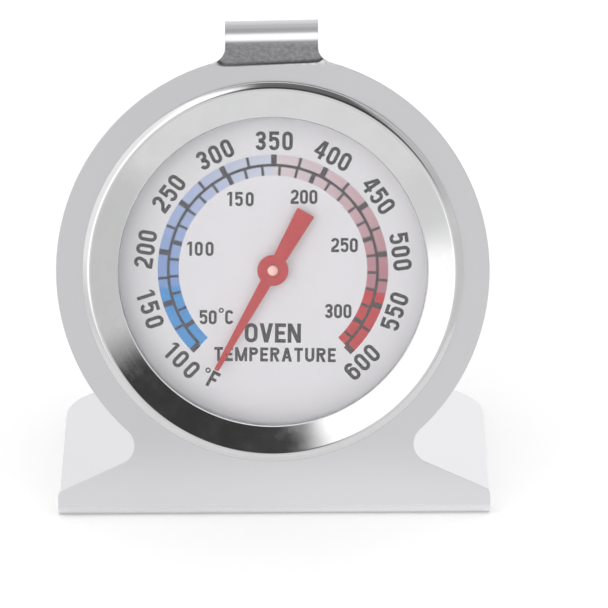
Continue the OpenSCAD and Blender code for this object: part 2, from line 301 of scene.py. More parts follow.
def clock_angle(tree, coords):
    """Degrees clockwise from BAND_GAP, a place on the dial where nothing is printed."""
    x, u, _ = split_xyz(tree, coords)
    degrees = times(tree, math_node(tree, "ARCTAN2", x, u), DEGREES)
    return math_node(tree, "FLOORED_MODULO", math_node(tree, "SUBTRACT", degrees, BAND_GAP), 360.0)


def vector_math(tree, operation, a, b=None):
    inputs = {0: a} if b is None else {0: a, 1: b}
    return add(tree, "ShaderNodeVectorMath", inputs, operation=operation)


def halftone_material(name, ink, ground, start, end, cover_start, cover_end):
    """Ink dots on the dial's ground, whose size changes from one clock angle to another."""
    material, tree, shader = new_material(name)
    coords = dial_coords(tree)
    angle = clock_angle(tree, coords)
    cover = to_range(tree, angle, cover_start, cover_end, start - BAND_GAP, end - BAND_GAP)
    dot_radius = math_node(tree, "SQRT", math_node(tree, "DIVIDE", cover, math.pi))
    turned = stretched(tree, coords, (1 / DOT_PITCH,) * 3, (0, 0, math.radians(DOT_ANGLE)))
    cell = vector_math(tree, "FRACTION", turned).outputs["Vector"]
    centred = vector_math(tree, "SUBTRACT", cell, (0.5, 0.5, 0.0)).outputs["Vector"]
    flat = vector_math(tree, "MULTIPLY", centred, (1, 1, 0)).outputs["Vector"]
    distance = vector_math(tree, "LENGTH", flat).outputs["Value"]
    inside = to_range(tree, math_node(tree, "SUBTRACT", dot_radius, distance), 0.0, 1.0, -0.08, 0.08)
    set_inputs(tree, shader, {"Base Color": mix_color(tree, inside, (*ground, 1), (*ink, 1)),
                              "Roughness": spread(tree, noise(tree, coords, PEEL_SCALE, 2.0), 0.4, 0.5),
                              "Specular IOR Level": PAINT_SPECULAR})
    return material


def overprint_material():
    """Dark scale ink that takes a little of the colour it is printed over."""
    material, tree, shader = new_material("ink_scale")
    coords = dial_coords(tree)
    along = math_node(tree, "DIVIDE", clock_angle(tree, coords), 360.0)
    tints = [(224, (16, 40, 70)), (262, (24, 34, 62)), (320, (34, 38, 60)), (362, (44, 38, 50)),
             (462, (50, 30, 38)), (497, (62, 18, 24))]
    color = ramp(tree, along, [((angle - BAND_GAP) / 360, srgb(*tint)) for angle, tint in tints])
    tone = spread(tree, noise(tree, coords, 1.5, 3.0), 0.96, 1.04)
    set_inputs(tree, shader, {"Base Color": tinted(tree, color, tone),
                              "Roughness": spread(tree, noise(tree, coords, PEEL_SCALE, 2.0), 0.42, 0.52),
                              "Specular IOR Level": PAINT_SPECULAR})
    return material


def glass_material():
    """Clear flat window with the faintest smears in its polish."""
    material, tree, shader = new_material("window_clear")
    smear = noise(tree, stretched(tree, dial_coords(tree), (1, 0.35, 1), (0, 0, 0.5)), 0.4, 3.0)
    set_inputs(tree, shader, {"Base Color": (1.0, 0.996, 1.0, 1), "Transmission Weight": 1.0, "IOR": 1.45,
                              "Roughness": to_range(tree, smear, 0.0, 0.03, 0.5, 0.8),
                              "Specular IOR Level": 0.1})
    return material


def rubber_material():
    material, tree, shader = new_material("silicone_gray")
    grain = noise(tree, dial_coords(tree), 11.0, 3.0)
    color = ramp(tree, grain, [(0.3, (0.33, 0.33, 0.34)), (0.7, (0.40, 0.40, 0.41))])
    set_inputs(tree, shader, {"Base Color": color, "Roughness": spread(tree, grain, 0.65, 0.8),
                              "Normal": bump(tree, grain, 0.15, 0.03 * MM)})
    return material


# ---------- meshes ----------
def ride_with(mesh, material, body, replaced=()):
    """Makes a mesh a piece of the same name that rides on a body."""
    mesh.materials.append(material)
    piece = bpy.data.objects.new(mesh.name, mesh)
    bpy.context.scene.collection.objects.link(piece)
    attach(piece, body)
    if replaced:
        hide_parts(*replaced)
    return piece


def make_piece(name, vertices, faces, material, body, replaced=(), smooth=True, normals=None):
    """A mesh piece in the row's frame, in metres, that rides on a body."""
    mesh = bpy.data.meshes.new(name)
    mesh.from_pydata([tuple(v) for v in vertices], [], faces)
    mesh.validate()
    if smooth:
        mesh.polygons.foreach_set("use_smooth", [True] * len(mesh.polygons))
    if normals is not None:
        mesh.normals_split_custom_set_from_vertices([tuple(n) for n in normals])
    return ride_with(mesh, material, body, replaced)


def arc_points(centre, radius, start, end, steps):
    """Points along an arc in the plane, from start to end in degrees."""
    angles = [math.radians(start + (end - start) * i / steps) for i in range(steps + 1)]
    return [(centre[0] + radius * math.cos(a), centre[1] + radius * math.sin(a)) for a in angles]


def rounded(profile, radius, steps=3):
    """A closed outline with its corners rounded: (x, y) by the given radius, and (x, y, r) by its own."""
    out = []
    count = len(profile)
    for i, point in enumerate(profile):
        r = point[2] if len(point) > 2 else radius
        p = Vector(point[:2])
        before, after = Vector(profile[i - 1][:2]), Vector(profile[(i + 1) % count][:2])
        a, b = (before - p), (after - p)
        angle = a.angle(b)
        if r <= 0 or angle > math.radians(179):
            out.append(tuple(p))
            continue
        reach = min(r / math.tan(angle / 2), 0.49 * a.length, 0.49 * b.length)
        r = reach * math.tan(angle / 2)
        centre = p + (a.normalized() + b.normalized()).normalized() * (r / math.sin(angle / 2))
        start, end = p + a.normalized() * reach - centre, p + b.normalized() * reach - centre
        turn = start.angle_signed(end)
        for k in range(steps + 1):
            spin = Matrix.Rotation(-turn * k / steps, 2)
            out.append(tuple(centre + spin @ start))
    return out


def revolve(name, profile, material, body, replaced=(), segments=192):
    """Turns a closed outline of (radius, z) points round the dial's axis."""
    vertices, faces = [], []
    count = len(profile)
    for i in range(segments):
        a = TAU * i / segments
        vertices += [on_dial(r * math.sin(a), r * math.cos(a), z) for r, z in profile]
    for i in range(segments):
        for k in range(count):
            a, b = i * count + k, i * count + (k + 1) % count
            c, d = (b + count) % (segments * count), (a + count) % (segments * count)
            faces.append((a, b, c, d))
    finish_shading(make_piece(name, vertices, faces, material, body, replaced))


def finish_shading(piece, sharp=35):
    """Merges doubled points, faces outwards, and gives large faces the say over small edge faces."""
    b = bmesh.new()
    b.from_mesh(piece.data)
    bmesh.ops.remove_doubles(b, verts=b.verts, dist=1e-7)
    bmesh.ops.dissolve_degenerate(b, edges=b.edges, dist=1e-8)
    bmesh.ops.recalc_face_normals(b, faces=b.faces)
    for edge in b.edges:
        edge.smooth = not (edge.is_manifold and edge.calc_face_angle(0) > math.radians(sharp))
    for face in b.faces:
        face.smooth = True
    b.to_mesh(piece.data)
    b.free()
    modifier = piece.modifiers.new("shading", "WEIGHTED_NORMAL")
    modifier.keep_sharp = True


# ---------- flat sheets with rolled edges ----------
def mitre(before, p, after, distance):
    """The step from a bent line's point p to the line that runs evenly beside it, on its left."""
    d1, d2 = p - before, after - p
    d1 = d1.normalized() if d1.length > 1e-9 else d2.normalized()
    d2 = d2.normalized() if d2.length > 1e-9 else d1
    n1, n2 = Vector((-d1.y, d1.x)), Vector((-d2.y, d2.x))
    n = (n1 + n2).normalized()
    return n * distance / max(0.5, n.dot(n1))


def inset(path, distance, inward=1):
    """Moves each point of a closed anticlockwise path inwards, or outwards where inward is -1."""
    return [p + inward * mitre(path[i - 1], p, path[(i + 1) % len(path)], distance)
            for i, p in enumerate(path)]


def round_hole(radius, steps):
    return [Vector(p) for p in arc_points((0, 0), radius, 0, 360, steps)[:-1]]


def sheet_faces(outline, hole, edge, thickness, steps, put, extra=()):
    """Faces of a sheet with a round hole at the origin, whose edges are rolled by a small radius.

    put(point, depth, tilt, outward) makes a vertex and returns its number. depth is behind the front face,
    tilt is 0 degrees there, 90 on the rim and 180 on the back, and outward is None on the two flat faces.
    """
    rims = [(outline, 1), (hole, -1)]
    inner = [inset(path, edge, inward) for path, inward in rims]
    flat = inner[0] + inner[1] + list(extra)
    edges, start = [], 0
    for path in inner:
        edges += [(start + i, start + (i + 1) % len(path)) for i in range(len(path))]
        start += len(path)
    made, _, triangles, origin, _, _ = delaunay_2d_cdt(flat, edges, [], 1, 1e-7)
    assert len(made) == len(flat), "the pattern has doubled points"
    front = [put(p, 0.0, 0, None) for p in flat]
    back = [put(p, thickness, 180, None) for p in flat]
    hole_r = hole[0].length
    faces = []
    for triangle in triangles:
        ids = [origin[i][0] for i in triangle]
        if (sum((flat[i] for i in ids), Vector((0, 0))) / 3).length > hole_r:
            faces += [[front[i] for i in ids], [back[i] for i in reversed(ids)]]
    start = 0
    for (path, inward), inner_path in zip(rims, inner):
        columns = []
        for i, (p, rim_point) in enumerate(zip(inner_path, path)):
            outward = (rim_point - p).normalized()
            column = [front[start + i]]
            for k in list(range(1, steps + 1)) + list(range(-steps, 0)):
                tilt = 90 * abs(k) / steps
                a = math.radians(tilt)
                sunk = edge * (1 - math.cos(a))
                depth, tilt = (sunk, tilt) if k > 0 else (thickness - sunk, 180 - tilt)
                column.append(put(p + outward * edge * math.sin(a), depth, tilt, outward))
            column.append(back[start + i])
            columns.append(column)
        start += len(path)
        for column, following in zip(columns, columns[1:] + columns[:1]):
            for k in range(len(column) - 1):
                face = (column[k], column[k + 1], following[k + 1], following[k])
                faces.append(face if inward == 1 else face[::-1])
    return faces


# ---------- stand: one bent sheet ----------
SHEET = 0.5
EDGE = 0.07  # rounding of the sheet's stamped edges
PLATE_R = 30.0
CASE_HOLE_R = 23.95
FOLD_IN = 0.8
FOLD_OUT = FOLD_IN + SHEET
FOLD_U = -32.5
CREASE_U = 28.5
CREASE_SLANT, TOP_SLANT = 0.041, 0.014  # the hook was bent a little askew
CREASE_HALF, CREASE_CURL = 6.2, 0.5  # past this half width the crease curls up into the flares
HOOK_SETTLE = 0.16  # taken off the hook's straight front
# up the hook from the crease: straight run, turn in degrees and its inner radius
HOOK_WAY = [(0.0, 22.0, 1.1), (2.95, 164.0, 4.0), (2.6, -28.0, 1.2), (0.8, 0.0, 0.0)]
BASE_HALF = 30.0
SHOULDER = (29.7, -30.2)
SHOULDER_SLOPE = 22.5
SHOULDER_ROUND = 1.0
NOTCH_R = 2.7
STRAP_HALF = 6.45
FLARE_R = 2.4
TIP_ROUND = 0.8
FOOT_CORNER = 9.0
FOLD_TURN = 90.0 + math.degrees(LEAN)
FLAT_GRID, BENT_GRID = 3.0, 1.3  # spacing of the mesh on flat and on bent metal
FLAT_STEP, BENT_STEP = 1.2, 0.25  # and along its edges
foot_run = (cad_box[1].y - cad_box[0].y) / MM - FOLD_OUT
fold_arc = math.radians(FOLD_TURN) * FOLD_OUT
foot_way = [(0.0, FOLD_TURN, FOLD_IN), (foot_run, 0.0, 0.0)]


def heading(a):
    return Vector((math.cos(a), math.sin(a)))


def follow(way, distance):
    """Where a bent sheet's outer face is after a distance along it, as depth and height, and its heading."""
    at, a = Vector((0, 0)), math.pi / 2
    for run, turn, inner in way:
        step = min(distance, run)
        at = at + step * heading(a)
        distance -= step
        if distance <= 0:
            return at, a
        if turn:
            side = 1 if turn > 0 else -1
            r = inner + SHEET if turn > 0 else inner
            angle = min(distance / r, math.radians(abs(turn)))
            centre = at + side * r * heading(a - math.pi / 2)
            a -= side * angle
            at = centre - side * r * heading(a - math.pi / 2)
            distance -= angle * r
            if distance <= 1e-9:
                return at, a
    return at + distance * heading(a), a


def way_length(way):
    return sum(run + math.radians(abs(turn)) * (inner + (SHEET if turn > 0 else 0))
               for run, turn, inner in way)


def on_sheet(x, s, depth):
    """A point of the bent sheet and the normal there.

    x is across, s is along its face, 0 at the dial's height, and depth is behind that face.
    """
    crease = CREASE_U + CREASE_SLANT * x + CREASE_CURL * max(0.0, abs(x) - CREASE_HALF) ** 2
    if s > crease:
        way = list(HOOK_WAY)
        way[1] = (way[1][0] - HOOK_SETTLE - (CREASE_SLANT - TOP_SLANT) * x, *way[1][1:])
        at, a = follow(way, s - crease)
        back = heading(a - math.pi / 2)
        d, u = at.x + depth * back.x, crease + at.y + depth * back.y
        normal = (-back.x, -back.y)
    elif s < FOLD_U:
        at, a = follow(foot_way, FOLD_U - s)
        back = heading(a - math.pi / 2)
        d, u = at.x + depth * back.x, FOLD_U - at.y - depth * back.y
        normal = (-back.x, back.y)
    else:
        d, u, normal = depth, s, (-1.0, 0.0)
    return on_dial(x, u, -d), (-normal[0] * OUT + normal[1] * UP)


def fillet_centre(point, normal, r):
    """Centre of a fillet between the plate's round edge and the line through a point with that normal."""
    off = Vector(point).dot(normal) + r
    along = math.sqrt((PLATE_R + r) ** 2 - off * off)
    return off * normal + along * Vector((normal.y, -normal.x))


def stand_outline():
    """Right half of the flat pattern, from the foot's rear edge up to the hook's tip."""
    tip = CREASE_U + way_length(HOOK_WAY)
    rear = FOLD_U - fold_arc - foot_run
    slope = math.radians(SHOULDER_SLOPE)
    web = fillet_centre(SHOULDER, Vector((math.sin(slope), math.cos(slope))), NOTCH_R)
    flare = Vector((STRAP_HALF + FLARE_R, math.sqrt((PLATE_R + FLARE_R) ** 2 - (STRAP_HALF + FLARE_R) ** 2)))
    web_angle = math.degrees(math.atan2(web.y, web.x))
    flare_angle = math.degrees(math.atan2(flare.y, flare.x))
    return (arc_points((BASE_HALF - FOOT_CORNER, rear + FOOT_CORNER), FOOT_CORNER, -90, 0, 24)
            + arc_points((BASE_HALF - SHOULDER_ROUND, SHOULDER[1] - SHOULDER_ROUND), SHOULDER_ROUND, 0,
                         90 - SHOULDER_SLOPE, 8)
            + arc_points(web, NOTCH_R, 270 - SHOULDER_SLOPE, 180 + web_angle, 20)
            + arc_points((0, 0), PLATE_R, web_angle, flare_angle, 100)
            + arc_points(flare, FLARE_R, 180 + flare_angle, 180, 12)
            + arc_points((STRAP_HALF - TIP_ROUND, tip - TIP_ROUND), TIP_ROUND, 0, 90, 6))


def subdivide(path):
    """Adds points to the long stretches of a closed path, closer together where the sheet bends."""
    out = []
    for a, b in zip(path, path[1:] + path[:1]):
        if (a - b).length < 1e-6:
            continue
        low, high = min(a.y, b.y), max(a.y, b.y)
        bent = high > CREASE_U - 0.7 or (high > FOLD_U - fold_arc - 0.5 and low < FOLD_U + 0.5)
        steps = max(1, math.ceil((a - b).length / (BENT_STEP if bent else FLAT_STEP)))
        out += [a.lerp(b, i / steps) for i in range(steps)]
    return out


def stand_grid(outline):
    """Points inside the flat pattern, in close rows over the fold, the crease and the hook."""
    bend_rows = [(FOLD_U - fold_arc - 0.2, FOLD_U + 0.2, 0.14), (CREASE_U - 0.6, CREASE_U + 1.4, 0.12),
                 (CREASE_U + 1.4, CREASE_U + way_length(HOOK_WAY), 0.22)]
    grid = []
    for low, high, step in bend_rows:
        rows = int((high - low) / step)
        grid += [(x * BENT_GRID, low + (high - low) * k / rows)
                 for k in range(1, rows) for x in range(-24, 25)]
    flat_rows = [s * FLAT_GRID for s in range(-10, 10)]
    flat_rows += [FOLD_U - fold_arc - FLAT_GRID * k for k in range(1, 13)]
    grid += [(x * FLAT_GRID, s) for s in flat_rows for x in range(-10, 11)]

    def inside(p):
        crossings = 0
        for a, b in zip(outline, outline[1:] + outline[:1]):
            if (a.y > p.y) != (b.y > p.y) and p.x < (b.x - a.x) * (p.y - a.y) / (b.y - a.y) + a.x:
                crossings += 1
        near = min((q - p).length for q in outline) < 0.2
        return crossings % 2 == 1 and not near and p.length > CASE_HOLE_R + 0.3

    return [p for p in map(Vector, grid) if inside(p)]


def stand_piece(material):
    """The bent sheet, with a normal for each vertex that follows its bends and rolled edges."""
    half = stand_outline()
    outline = subdivide([Vector(p) for p in half] + [Vector((-x, s)) for x, s in reversed(half)])
    vertices, normals = [], []

    def put(p, depth, tilt, outward):
        place, normal = on_sheet(p.x, p.y, depth)
        if outward is None:
            normal = normal if tilt == 0 else -normal
        else:
            across = on_sheet(p.x + outward.x * 0.01, p.y + outward.y * 0.01, depth)[0] - place
            across = (across - across.dot(normal) * normal).normalized()
            t = math.radians(tilt)
            normal = math.cos(t) * normal + math.sin(t) * across
        vertices.append(place)
        normals.append(normal)
        return len(vertices) - 1

    faces = sheet_faces(outline, round_hole(CASE_HOLE_R, 180), EDGE, SHEET, 4, put, stand_grid(outline))
    make_piece("stand_sheet", vertices, faces, material, "case", ["stand_plate"],
               normals=normals)


# ---------- dial print ----------
PRINT_TURN = 0.9  # the print sits slightly askew on the dial
DEGREE_F = 0.54260  # clock degrees for each degree Fahrenheit
SCALE_START = 225.2  # clock angle of 100 degrees Fahrenheit
BAND_IN, BAND_OUT = 13.1, 16.0
BAND_LIMITS = (224.0, 260.5, 361.0, 462.5, 496.6)  # clock angles where the bands change colour
SCALE_R = 14.53  # the line between the two scales
SCALE_HALF = 0.2
NUMBER_R = 17.9  # middle of the Fahrenheit numbers
INK_GAP, INK_T = 0.004, 0.012
INK_STEP = INK_T + 0.002  # from one ink layer to the next
DOT_PITCH, DOT_ANGLE = 0.26, 38.0
BAND_GAP = 180.0  # clock angle with no print
dial_face = depth_range("dial_plate")[1]


def ink_layer(level):
    """Bottom and top of a layer of ink; layers 1 and 2 lie over the bands of layer 0."""
    low = dial_face + INK_GAP + level * INK_STEP
    return low, low + INK_T


def clock(angle, radius):
    a = math.radians(angle)
    return Vector((radius * math.sin(a), radius * math.cos(a)))


def fahrenheit(value):
    return SCALE_START + (value - 100) * DEGREE_F


def celsius(value):
    return fahrenheit(value * 9 / 5 + 32)


def ink_piece(name, vertices, faces, material):
    return make_piece(name, vertices, faces, material, "case", smooth=False)


def tick_piece(name, ticks, material):
    """Raised ink over flat outlines, each a list of points in the dial's plane, anticlockwise."""
    low, high = ink_layer(2)
    vertices, faces = [], []
    for points in ticks:
        start, count = len(vertices), len(points)
        vertices += [on_dial(p.x, p.y, z) for z in (low, high) for p in points]
        faces.append([start + i for i in reversed(range(count))])
        faces.append([start + count + i for i in range(count)])
        for i in range(count):
            k = (i + 1) % count
            faces.append((start + i, start + k, start + count + k, start + count + i))
    ink_piece(name, vertices, faces, material)


def ring_piece(name, rings, level, material):
    """Raised ink in ring sectors or whole rings: centre, both radii, both clock angles, number of sides."""
    vertices, faces = [], []
    for centre, r_in, r_out, start, end, sides in rings:
        first, whole = len(vertices), end - start == 360
        sections = sides if whole else sides + 1
        for i in range(sections):
            for r in (r_in, r_out):
                p = Vector(centre) + clock(start + (end - start) * i / sides, r)
                vertices += [on_dial(p.x, p.y, z) for z in ink_layer(level)]
        for i in range(sides):
            a, b = first + 4 * i, first + 4 * ((i + 1) % sections)
            faces += [(b + 1, b + 3, a + 3, a + 1), (a + 2, b + 2, b, a), (b, b + 1, a + 1, a),
                      (a + 3, b + 3, b + 2, a + 2)]
        if not whole:
            last = first + 4 * sides
            faces += [(first + 1, first + 3, first + 2, first), (last + 2, last + 3, last + 1, last)]
    ink_piece(name, vertices, faces, material)


def band_piece(name, r_in, r_out, start, end, level, material):
    ring_piece(name, [((0, 0), r_in, r_out, start, end, math.ceil((end - start) / 1.5))], level, material)


def tick(angle, r_in, r_out, width):
    out = clock(angle, 1.0)
    side = Vector((out.y, -out.x)) * width / 2
    return [out * r_in - side, out * r_in + side, out * r_out + side, out * r_out - side]


def stroke(points, weight, closed=False):
    """A line of even weight as a row of quads."""
    count = len(points)
    points = [Vector(p) for p in points]
    sides = []
    for i, p in enumerate(points):
        before = points[i - 1] if closed or i else p
        after = points[(i + 1) % count] if closed or i < count - 1 else p
        side = mitre(before, p, after, weight / 2)
        sides.append((p - side, p + side))
    pairs = zip(sides, sides[1:] + sides[:1]) if closed else zip(sides, sides[1:])
    return [(a[0], b[0], b[1], a[1]) for a, b in pairs]


def bar(x0, y0, x1, y1):
    return [[Vector((x0, y0)), Vector((x1, y0)), Vector((x1, y1)), Vector((x0, y1))]]


def slash(x0, x1, weight, low=0.0, high=1.0):
    """A slanting stroke with level ends, from x0 at the bottom to x1 at the top, both its left edges."""
    return [[Vector((x0, low)), Vector((x0 + weight, low)), Vector((x1 + weight, high)), Vector((x1, high))]]


USUAL_WIDTH = 0.56
GLYPH_WIDTH = {"1": 0.36, "4": 0.60, "O": 0.66, "V": 0.70, "N": 0.68, "T": 0.62, "M": 0.86, "P": 0.62,
               "R": 0.66, "A": 0.74, "U": 0.66, "F": 0.50, "C": 0.58}


def glyph(letter, t):
    """One condensed letter or digit, 1 high, as flat quads; t is the weight of its strokes."""
    w = GLYPH_WIDTH.get(letter, USUAL_WIDTH)
    h = t / 2
    r = (w - t) / 2
    cx, left, right, low, high = w / 2, h, w - h, h, 1 - h
    top, bottom = (cx, high - r), (cx, low + r)
    if letter in "0O":
        return stroke(arc_points(top, r, 0, 180, 14) + arc_points(bottom, r, 180, 360, 14), t, True)
    if letter == "1":
        return bar(w - t, 0, w, 1) + [[Vector((0, 0.72)), Vector((w - t, 0.84)), Vector((w - t, 1)),
                                       Vector((w - t - 0.02, 1)), Vector((0, 0.85))]]
    if letter == "2":
        hook = arc_points(top, r, 175, -15, 14)
        return stroke(hook + [(cx + 0.5 * r, 0.44), (left + 0.02, t + 0.06), (left, h)], t) + bar(0, 0, w, t)
    if letter == "3":
        upper = arc_points(top, r, 170, -75, 14) + [(cx - 0.1, 0.5 + 0.012)]
        lower = [(cx - 0.1, 0.5 - 0.012)] + arc_points(bottom, r, 75, -170, 14)
        return stroke(upper, t) + stroke(lower, t)
    if letter == "4":
        post = 0.7 * w
        return (bar(post - h, 0, post + h, 1) + bar(0, 0.22, w, 0.22 + 0.85 * t)
                + slash(0.0, post - t, t * 0.95, 0.28, 1))
    if letter == "5":
        return (bar(left - h + 0.02, 1 - t, w - 0.02, 1) + bar(0.02, 0.46, t, 1)
                + stroke([(left, 0.5)] + arc_points((cx, 0.63 - r), r, 140, 0, 8)
                         + arc_points(bottom, r, 0, -170, 14), t * 0.98))
    if letter == "6":
        return (stroke(arc_points(top, r, 10, 180, 12) + arc_points(bottom, r, 180, 360, 14), t)
                + stroke([(right, low + r)] + arc_points((cx, 0.62 - r), r, 0, 165, 10), t * 0.95))
    if letter == "C":
        return stroke(arc_points(top, r, 12, 180, 12) + arc_points(bottom, r, 180, 348, 12), t)
    if letter == "U":
        return stroke([(left, 1)] + arc_points(bottom, r, 180, 360, 14) + [(right, 1)], t)
    if letter in "EF":
        bars = [(1 - t, 1, w), (0.5 - h + 0.01, 0.5 + h, 0.9 * w)] + ([(0, t, w)] if letter == "E" else [])
        return bar(0, 0, t, 1) + sum((bar(0, y0, x, y1) for y0, y1, x in bars), [])
    if letter == "T":
        return bar(0, 1 - t, w, 1) + bar(cx - h, 0, cx + h, 1)
    if letter == "N":
        return bar(0, 0, t, 1) + bar(w - t, 0, w, 1) + slash(w - 1.15 * t, 0, 1.15 * t)
    if letter == "M":
        return (bar(0, 0, t * 0.95, 1) + bar(w - t * 0.95, 0, w, 1) + slash(cx - 0.5 * t, 0, t)
                + slash(cx - 0.5 * t, w - t, t))
    if letter == "V":
        return slash(cx - 0.55 * t, 0, 1.1 * t) + slash(cx - 0.55 * t, w - 1.1 * t, 1.1 * t)
    if letter == "A":
        return (slash(0, cx - 0.55 * t, 1.1 * t) + slash(w - 1.1 * t, cx - 0.55 * t, 1.1 * t)
                + bar(0.2 * w, 0.22, 0.8 * w, 0.22 + 0.85 * t))
    bowl = 0.27 - h
    rounded_bowl = stroke([(left, high)] + arc_points((right - bowl, high - bowl), bowl, 90, -90, 12)
                          + [(left, high - 2 * bowl)], t)
    if letter == "P":
        return bar(0, 0, t, 1) + rounded_bowl
    return bar(0, 0, t, 1) + rounded_bowl + slash(w - 1.1 * t, cx - 0.6 * t, 1.1 * t, 0, 0.5)


def letters(text, centre, up_angle, height, width, weight):
    """One label, spaced to fill the width: up_angle is the clock angle its tops point to."""
    widths = [GLYPH_WIDTH.get(letter, USUAL_WIDTH) for letter in text]
    gap = (width / height - sum(widths)) / max(1, len(text) - 1)
    start = -(sum(widths) + gap * (len(text) - 1)) / 2
    up = clock(up_angle, 1.0)
    right = Vector((up.y, -up.x))
    centre = Vector(centre)
    quads = []
    for letter, letter_width in zip(text, widths):
        quads += [[centre + right * (start + p.x) * height + up * (p.y - 0.5) * height for p in quad]
                  for quad in glyph(letter, weight)]
        start += letter_width + gap
    return quads


def merge_flat(quads):
    """The area that overlapping flat quads cover, as points and triangles."""
    points = [p for quad in quads for p in quad]
    faces, start = [], 0
    for quad in quads:
        ids = list(range(start, start + len(quad)))
        area = sum(a.x * b.y - b.x * a.y for a, b in zip(quad, quad[1:] + quad[:1]))
        faces.append(ids if area > 0 else ids[::-1])
        start += len(quad)
    made, _, triangles, _, _, owners = delaunay_2d_cdt(points, [], faces, 0, 1e-5)
    return made, [tuple(t) for t, owner in zip(triangles, owners) if owner]


def label_piece(name, labels, material):
    """Joins labels into one raised ink piece."""
    low, high = ink_layer(0)
    flat = bmesh.new()
    for quads in labels:
        points, polygons = merge_flat(quads)
        made = [flat.verts.new(on_dial(p.x, p.y, low)) for p in points]
        for polygon in polygons:
            flat.faces.new([made[i] for i in polygon])
    bmesh.ops.delete(flat, geom=[v for v in flat.verts if not v.link_faces], context="VERTS")
    bmesh.ops.dissolve_limit(flat, angle_limit=0.01, verts=flat.verts, edges=flat.edges)
    raised = bmesh.ops.extrude_face_region(flat, geom=flat.faces[:])
    top = [g for g in raised["geom"] if isinstance(g, bmesh.types.BMVert)]
    bmesh.ops.translate(flat, verts=top, vec=OUT * (high - low) * MM)
    bmesh.ops.recalc_face_normals(flat, faces=flat.faces)
    mesh = bpy.data.meshes.new(name)
    flat.to_mesh(mesh)
    flat.free()
    ride_with(mesh, material, "case")


def print_bands():
    """Solid blue and red at the cold and hot ends, and dot screens that fade towards the middle."""
    ground = srgb(227, 226, 229)
    thick, thin, thickest = 0.85, 0.18, 0.88
    cold, cool, middle, hot, end = BAND_LIMITS
    blue = paint_material("ink_blue", srgb(40, 142, 212))
    light_blue = halftone_material("halftone_blue", srgb(50, 124, 206), ground, cool, middle, thick, thin)
    light_red = halftone_material("halftone_red", srgb(164, 50, 78), ground, middle, hot, thin, thickest)
    red = paint_material("ink_red", srgb(192, 12, 32))
    for name, start, stop, material in (("cold", cold, cool, blue), ("cool", cool, middle, light_blue),
                                        ("warm", middle, hot, light_red), ("hot", hot, end, red)):
        band_piece("print_band_" + name, BAND_IN, BAND_OUT, start, stop, 0, material)


def print_scales():
    """The ring line and its ticks, which are wider at each numbered degree."""
    ink = overprint_material()
    overlap = 0.1
    band_piece("print_scale_line", SCALE_R - SCALE_HALF, SCALE_R + SCALE_HALF, SCALE_START, fahrenheit(600),
               1, ink)
    tick_piece("print_ticks_fahrenheit", [tick(fahrenheit(value), SCALE_R + overlap, BAND_OUT,
                                               0.78 if value % 50 == 0 else 0.38)
                                          for value in range(100, 601, 25)], ink)
    tick_piece("print_ticks_celsius", [tick(celsius(value), BAND_IN, SCALE_R - overlap,
                                            0.64 if value % 50 == 0 else 0.37)
                                       for value in range(50, 311, 10)], ink)


def print_text():
    """The numbers round both scales, the unit letters and the two words."""
    ink = paint_material("ink_black", srgb(12, 12, 16), 0.5)
    outer_height, inner_height, weight = 2.62, 1.98, 0.185
    labels = []
    for value in range(100, 601, 50):
        angle = fahrenheit(value)
        up = angle if 150 < value < 550 else angle + 180
        labels.append(letters(str(value), clock(angle, NUMBER_R), up, outer_height, 5.2, weight))
    labels.append(letters("F", (-8.4, -15.3), 28.8, 2.4, 1.15, 0.19))
    label_piece("print_numbers_fahrenheit", labels, ink)
    places = {50: (-9.05, -6.6), 100: (-10.07, 2.95), 150: (-4.46, 9.84), 200: (4.37, 10.1),
              250: (9.95, 3.36), 300: (9.02, -5.84)}
    labels = [letters(str(value), place, PRINT_TURN, inner_height, 2.4 if value == 50 else 3.7, weight)
              for value, place in places.items()]
    labels.append(letters("C", (-6.1, -6.6), PRINT_TURN, inner_height, 1.15, weight))
    label_piece("print_numbers_celsius", labels, ink)
    degree_signs = [((-7.2, -5.65), 0.16, 0.36, 0, 360, 28), ((-9.1, -14.0), 0.18, 0.38, 0, 360, 28)]
    ring_piece("print_degree_signs", degree_signs, 0, ink)
    label_piece("print_words", [letters("OVEN", (-0.06, -8.84), PRINT_TURN, 2.7, 7.8, 0.19),
                                letters("TEMPERATURE", (0.22, -11.86), PRINT_TURN, 1.95, 16.9, 0.2)], ink)


# ---------- bezel ----------
BEZEL_T = 0.35
HEM_R = 24.4  # inner radius of the rolled-in edge
lip_r, bezel_r = radius_range("bezel_ring")


def line_height(x, normal, level):
    """Height at x of the straight line whose points p have p . normal == level."""
    return (level - x * normal.x) / normal.y


